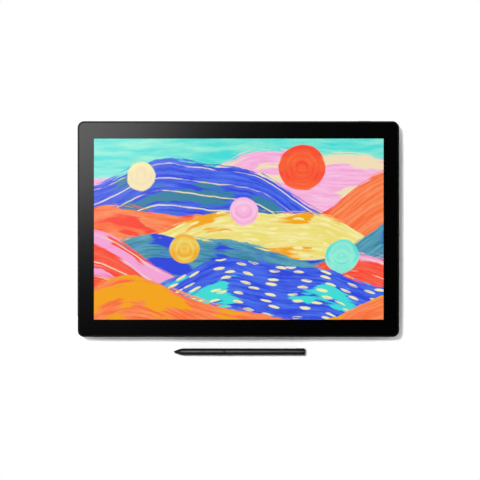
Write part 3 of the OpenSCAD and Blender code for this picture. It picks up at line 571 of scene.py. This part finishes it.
printedBorder()
tapeLook = {"name": "black mounting tape", "colour": grey(0.004), "pale": grey(0.008), "mottle": 500.0,
            "gloss": (0.7, 0.85), "depth": 0.00002}
dress("glass_tape", plainSheet(tapeLook))
bondLook = {"name": "clear screen bond", "colour": grey(0.8), "pale": grey(0.9), "body": 0.004}
dress("optical_bond", clearSheet(bondLook), shrink=0.00001)
print("glass and border done")


# Black mouldings: front frame, rear cover, legs and power button, then the rubber feet

frameLook = {"name": "front frame black", "colour": grey(0.006), "pale": grey(0.009),
             "grain": 5200.0, "cloud": 24.0, "depth": 0.000012, "gloss": (0.40, 0.52), "shine": 0.35}
dress("front_frame", mouldedPlastic(frameLook), edge=0.00012)
coverLook = {"name": "rear cover grain", "colour": grey(0.016), "pale": grey(0.021),
             "grain": 2300.0, "cloud": 18.0, "depth": 0.00004, "gloss": (0.52, 0.66), "shine": 0.45}
dress("rear_cover", mouldedPlastic(coverLook), edge=0.0002)
legLook = {"name": "leg grain", "colour": grey(0.026), "pale": grey(0.033),
           "grain": 2700.0, "cloud": 26.0, "depth": 0.00003, "gloss": (0.48, 0.60), "shine": 0.45}
dress(["left_leg", "right_leg"], mouldedPlastic(legLook), edge=0.0003)
buttonLook = {"name": "power button black", "colour": grey(0.020), "pale": grey(0.026),
              "grain": 6000.0, "cloud": 120.0, "depth": 0.000008, "gloss": (0.30, 0.40), "shine": 0.5}
dress("power_button", mouldedPlastic(buttonLook), edge=0.00025)

footLook = {"name": "foot rubber", "colour": grey(0.014), "pale": grey(0.022), "dust": grey(0.12),
            "dusting": 0.35, "specks": 5200.0, "speckSpan": (0.66, 0.74), "patches": 90.0,
            "patchSpan": (0.35, 0.7), "skin": 2400.0, "skinSpan": (0.3, 0.7), "gloss": (0.72, 0.9),
            "shine": 0.3, "depth": 0.00002, "bump": 0.7}
footRubber = softRubber(footLook)
dress(["front_feet", "rear_feet"], footRubber, edge=0.0006)
dress(["left_leg_foot", "right_leg_foot"], footRubber, edge=0.0005)
print("case, legs and feet done")


# Metal: screws, pins, bosses, sockets, plates

screwLook = {"name": "blackened screw steel", "colour": grey(0.07), "pale": grey(0.10), "dark": grey(0.03),
             "stretch": (1, 1, 6), "lines": 900.0, "gloss": (0.28, 0.42), "depth": 0.000006}
dress(["case_screws", "frame_screws", "board_screws"], drawnMetal(screwLook), edge=0.0002)
pinLook = {"name": "hinge pin steel", "colour": grey(0.50), "pale": grey(0.58), "dark": grey(0.32),
           "stretch": (0.1, 1, 1), "lines": 2600.0, "gloss": (0.20, 0.34), "depth": 0.000004}
dress(["left_leg_pin", "right_leg_pin"], drawnMetal(pinLook), edge=0.0002)
bossLook = {"name": "boss brass", "colour": (0.62, 0.44, 0.19, 1), "pale": (0.70, 0.52, 0.25, 1),
            "dark": (0.36, 0.25, 0.11, 1), "stretch": (1, 1, 8), "lines": 700.0, "gloss": (0.22, 0.38),
            "depth": 0.000008}
dress("vesa_bosses", drawnMetal(bossLook), edge=0.0002)
socketLook = {"name": "plated socket shell", "colour": grey(0.60), "pale": grey(0.68), "dark": grey(0.38),
              "stretch": (1, 0.12, 1), "lines": 2400.0, "gloss": (0.20, 0.32), "depth": 0.000004}
dress(["usb_c_ports", "mini_hdmi_port"], drawnMetal(socketLook), edge=0.00006)
trayLook = {"name": "panel tray steel", "colour": grey(0.52), "pale": grey(0.60), "dark": grey(0.36),
            "stretch": (0.05, 1, 1), "lines": 900.0, "gloss": (0.34, 0.48), "depth": 0.00001}
dress(["panel_tray", "shield_can"], drawnMetal(trayLook), edge=0.0001)
plateLook = {"name": "chassis aluminium", "colour": (0.66, 0.67, 0.69, 1), "pale": (0.74, 0.75, 0.77, 1),
             "dark": (0.50, 0.51, 0.53, 1), "stretch": (0.04, 1, 1), "lines": 700.0, "gloss": (0.36, 0.50),
             "depth": 0.000012}
dress("chassis_plate", drawnMetal(plateLook), edge=0.0001)
shieldLook = {"name": "magnetic shield alloy", "colour": (0.34, 0.36, 0.40, 1),
              "pale": (0.40, 0.42, 0.46, 1), "dark": (0.24, 0.25, 0.28, 1), "stretch": (1, 0.05, 1),
              "lines": 800.0, "gloss": (0.30, 0.44), "depth": 0.000008}
dress("shield_plate", drawnMetal(shieldLook))
print("metal done")


# Inside the case: screen layers, boards, chips and ribbons

filmLook = {"name": "diffuser film", "colour": grey(0.80), "pale": grey(0.88), "mottle": 1500.0,
            "gloss": (0.5, 0.65), "depth": 0.000004}
dress("diffuser_films", plainSheet(filmLook))
mirrorLook = {"name": "white reflector", "colour": grey(0.84), "pale": grey(0.90), "mottle": 400.0,
              "gloss": (0.25, 0.4), "depth": 0.000003}
dress("reflector_sheet", plainSheet(mirrorLook))
guideLook = {"name": "light guide acrylic", "colour": (0.80, 0.90, 0.88, 1), "pale": grey(0.95),
             "body": 0.12}
dress("light_guide", clearSheet(guideLook), shrink=0.00001)
lampLook = {"name": "light strip", "colour": (0.85, 0.80, 0.55, 1), "pale": (0.92, 0.88, 0.70, 1),
            "mottle": 300.0, "gloss": (0.35, 0.5), "depth": 0.00001}
dress("led_strip", plainSheet(lampLook))

boardLook = {"name": "main board green", "colour": (0.010, 0.090, 0.045, 1),
             "pale": (0.014, 0.120, 0.060, 1), "copper": (0.10, 0.26, 0.12, 1),
             "tracks": 260.0, "pads": 420.0}
dress(["main_board", "button_board"], solderMask(boardLook))
sensorLook = {"name": "sensor board green", "colour": (0.008, 0.060, 0.032, 1),
              "pale": (0.010, 0.080, 0.042, 1), "copper": (0.07, 0.18, 0.09, 1),
              "tracks": 90.0, "pads": 160.0}
dress("sensor_board", solderMask(sensorLook))
penBoardLook = {"name": "pen board black", "colour": grey(0.004), "pale": grey(0.006),
                "copper": (0.05, 0.04, 0.015, 1), "tracks": 700.0, "pads": 900.0}
dress("pen_board", solderMask(penBoardLook))

chipLook = {"name": "chip resin", "colour": grey(0.020), "pale": grey(0.030), "mottle": 2600.0,
            "gloss": (0.5, 0.66), "depth": 0.00002}
dress("board_chips", plainSheet(chipLook), edge=0.00008)
padLook = {"name": "thermal pad", "colour": (0.50, 0.40, 0.46, 1), "pale": (0.58, 0.48, 0.54, 1),
           "mottle": 500.0, "gloss": (0.7, 0.85), "depth": 0.00003}
dress("thermal_pad", plainSheet(padLook))
ribbonLook = {"name": "amber ribbon", "colour": (0.44, 0.20, 0.035, 1), "pale": (0.56, 0.28, 0.06, 1),
              "mottle": 900.0, "stretch": (1, 0.03, 1), "gloss": (0.24, 0.38), "depth": 0.000006}
dress(["panel_flex", "sensor_flex", "button_flex"], plainSheet(ribbonLook))
print("inside done")


# Pen, with a dull seam before its front switch and a wider one at the end of its rear switch

penBore = 0.0039
penSeams = [  # middle and half width
    (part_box("pen_switch_front")[0].x - 0.0003, 0.00045),
    (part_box("pen_switch_rear")[1].x - 0.0015, 0.0013),
]
barrelLook = {"name": "pen barrel black", "colour": grey(0.005), "pale": grey(0.007),
              "grain": 5200.0, "cloud": 60.0, "depth": 0.000012, "gloss": (0.34, 0.44), "shine": 0.42,
              "bore": penBore, "seams": penSeams}
dress("pen_barrel", mouldedPlastic(barrelLook), edge=0.0001)
trimLook = {"name": "pen trim black", "colour": grey(0.004), "pale": grey(0.006),
            "grain": 6500.0, "cloud": 90.0, "depth": 0.000008, "gloss": (0.26, 0.36), "shine": 0.45}
dress(["pen_cone", "pen_tail_cap"], mouldedPlastic(trimLook), edge=0.0001)
switchLook = {"name": "side switch black", "colour": grey(0.004), "pale": grey(0.006),
              "grain": 7000.0, "cloud": 160.0, "depth": 0.000006, "gloss": (0.36, 0.46), "shine": 0.42,
              "bore": penBore, "seams": penSeams}
dress(["pen_switch_front", "pen_switch_rear"], mouldedPlastic(switchLook), edge=0.0003)
nibLook = {"name": "nib resin", "colour": grey(0.004), "pale": grey(0.006), "mottle": 1600.0,
           "gloss": (0.5, 0.65), "depth": 0.000008}
dress("pen_nib", plainSheet(nibLook))
coreLook = {"name": "wound ferrite", "colour": (0.10, 0.05, 0.03, 1), "pale": (0.34, 0.13, 0.05, 1),
            "mottle": 5200.0, "stretch": (1, 0.02, 0.02), "gloss": (0.3, 0.5), "depth": 0.00004}
dress("pen_core", plainSheet(coreLook))
cellLook = {"name": "pressure cell resin", "colour": (0.05, 0.05, 0.09, 1), "pale": (0.07, 0.07, 0.12, 1),
            "mottle": 1400.0, "gloss": (0.4, 0.55), "depth": 0.00001}
dress("pen_pressure_sensor", plainSheet(cellLook))
carrierLook = {"name": "carrier resin", "colour": grey(0.010), "pale": grey(0.014), "mottle": 900.0,
               "gloss": (0.5, 0.65), "depth": 0.00001}
dress("pen_carrier", plainSheet(carrierLook))
print("pen done")


# Camera, straight above the screen, with the tablet a little above the middle as it lies there

cameraLook = {"frame": 480, "perPixel": 0.00119, "lens": 300.0, "sensor": 36.0, "middle": (238.4, 229.1),
              "clip": 4}


def setCamera():
    shot = cameraLook
    data = bpy.data.cameras.new("overhead")
    data.sensor_width = shot["sensor"]
    data.lens = shot["lens"]
    camera = bpy.data.objects.new("overhead", data)
    scene.collection.objects.link(camera)
    half = shot["frame"] / 2
    away = half * shot["perPixel"] / (shot["sensor"] / 2 / shot["lens"])
    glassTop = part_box("front_glass")[1].z
    camera.location = ((half - shot["middle"][0]) * shot["perPixel"],
                       (shot["middle"][1] - half) * shot["perPixel"], glassTop + away)
    data.clip_end = away * shot["clip"]
    scene.camera = camera


setCamera()
print("camera set")


# White floor that keeps the shadow: an L below and to the right of the tablet, where its shadow falls,
# and open under it, where the legs swing

stageLook = {"left": 0.010, "right": 0.018, "near": 0.018, "under": 0.025, "drop": 0.00002,
             "floor": 0.8, "seen": 1.55}


def setFloor():
    low, high = cadBox
    left, right = low[0] - stageLook["left"], high[0] + stageLook["right"]
    near, far = low[1] - stageLook["near"], high[1]
    inX = high[0] - stageLook["under"]
    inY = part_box("rear_cover")[0].y + stageLook["under"]
    corners = [(left, near), (right, near), (right, far), (inX, far), (inX, inY), (left, inY)]
    data = bpy.data.meshes.new("floor")
    data.from_pydata([(x, y, low[2] - stageLook["drop"]) for x, y in corners], [], [range(len(corners))])
    floor = bpy.data.objects.new("floor", data)
    scene.collection.objects.link(floor)
    material, tree = newFinish("white floor")
    rays = addNode(tree, "LightPath").outputs
    shown = calc(tree, "MAXIMUM", rays["Is Camera Ray"], rays["Is Transmission Ray"])
    white = mixColour(tree, rays["Is Glossy Ray"], grey(stageLook["floor"]), grey(1.0))
    white = mixColour(tree, shown, white, grey(stageLook["seen"]))
    paper = addNode(tree, "BsdfDiffuse", {"Color": white}).outputs["BSDF"]
    beneath = addNode(tree, "NewGeometry").outputs["Backfacing"]
    surface(tree, mixShaders(tree, beneath, paper, seeThrough(tree)))
    data.materials.append(material)


setFloor()


# Studio: white all round for the camera; in mirrors, pale walls towards the upper left and a dark ceiling

worldLook = {"fill": 2.6, "toLight": (-0.62, 0.78), "turn": (-0.5, 0.6), "shade": 0.12, "soft": 0.30,
             "white": 0.36, "dark": 0.70}


def setWorld():
    world = bpy.data.worlds.new("studio")
    scene.world = world
    world.use_nodes = True
    tree = world.node_tree
    tree.nodes.clear()
    aim = split(tree, addNode(tree, "TexCoord").outputs["Generated"])
    rays = addNode(tree, "LightPath").outputs
    side = calc(tree, "ADD", times(tree, aim["X"], worldLook["toLight"][0]),
                times(tree, aim["Y"], worldLook["toLight"][1]))
    shade = spread(tree, rays["Is Diffuse Ray"], 0.0, 1.0, worldLook["shade"], worldLook["soft"])
    walls = spread(tree, side, *worldLook["turn"], shade, 1.0, True)
    ceiling = spread(tree, aim["Z"], worldLook["white"], worldLook["dark"], 1.0, 0.0, True)
    ground = calc(tree, "LESS_THAN", aim["Z"], 0.0)
    level = calc(tree, "MAXIMUM", times(tree, walls, ceiling), ground)
    fill = spread(tree, rays["Is Diffuse Ray"], 0.0, 1.0, 1.0, worldLook["fill"])
    backdrop = calc(tree, "MAXIMUM", rays["Is Camera Ray"], rays["Is Transmission Ray"])
    strength = calc(tree, "MAXIMUM", times(tree, level, fill), backdrop)
    sky = addNode(tree, "Background", {"Color": grey(1.0), "Strength": strength})
    out = addNode(tree, "OutputWorld")
    tree.links.new(sky.outputs["Background"], out.inputs["Surface"])


setWorld()


# Lamps: the key from the upper left, its soft mirror image, a strip for the pen, and light from beneath

keyLook = {"strength": 1.8, "spread": 14.0, "from": (-0.295, 0.26, 1.0)}
boxLook = {"place": (-0.30, 0.234, 0.969), "aim": (-0.30, 0.234, 0.0), "size": 0.41, "power": 3.8}
stripLook = {"place": (-0.16, -0.02, 0.9), "aim": (-0.10, -0.146, 0.0), "long": 0.5, "wide": 0.05,
             "power": 5.9,
             "lights": ["pen_barrel", "pen_cone", "pen_tail_cap", "pen_switch_front", "pen_switch_rear"]}
# from beneath, for the back: it lights the object only and passes the floor by
underLook = {"strength": 1.4, "spread": 25.0, "from": (0.6, 0.75, -0.8)}


def pointAt(lamp, start, end):
    aim = [e - s for s, e in zip(start, end)]
    flat = math.hypot(aim[0], aim[1])
    lamp.location = start
    lamp.rotation_euler = (math.atan2(flat, -aim[2]), 0.0, math.atan2(aim[1], aim[0]) - math.pi / 2)


def addLamp(name, kind, spot, aim, power):
    light = bpy.data.lights.new(name, kind)
    light.energy = power
    lamp = bpy.data.objects.new(name, light)
    scene.collection.objects.link(lamp)
    pointAt(lamp, spot, aim)
    lamp.visible_camera = False
    return lamp


def gather(title, names):
    group = bpy.data.collections.new(title)
    for name in names:
        group.objects.link(nodes[name])
    return group


def setLamps():
    key = addLamp("key", "SUN", keyLook["from"], (0.0, 0.0, 0.0), keyLook["strength"])
    key.data.angle = math.radians(keyLook["spread"])
    key.visible_glossy = False
    box = addLamp("softbox", "AREA", boxLook["place"], boxLook["aim"], boxLook["power"])
    box.data.shape = "DISK"
    box.data.size = boxLook["size"]
    box.visible_diffuse = False
    strip = addLamp("penStrip", "AREA", stripLook["place"], stripLook["aim"], stripLook["power"])
    strip.data.shape = "RECTANGLE"
    strip.data.size = stripLook["long"]
    strip.data.size_y = stripLook["wide"]
    strip.visible_diffuse = False
    strip.light_linking.receiver_collection = gather("penPieces", stripLook["lights"])
    under = addLamp("under", "SUN", underLook["from"], (0.0, 0.0, 0.0), underLook["strength"])
    under.data.angle = math.radians(underLook["spread"])
    whole = gather("wholeObject", nodes)
    under.light_linking.receiver_collection = whole
    under.light_linking.blocker_collection = whole


setLamps()
scene.view_settings.view_transform = "Standard"
print("floor and light set")
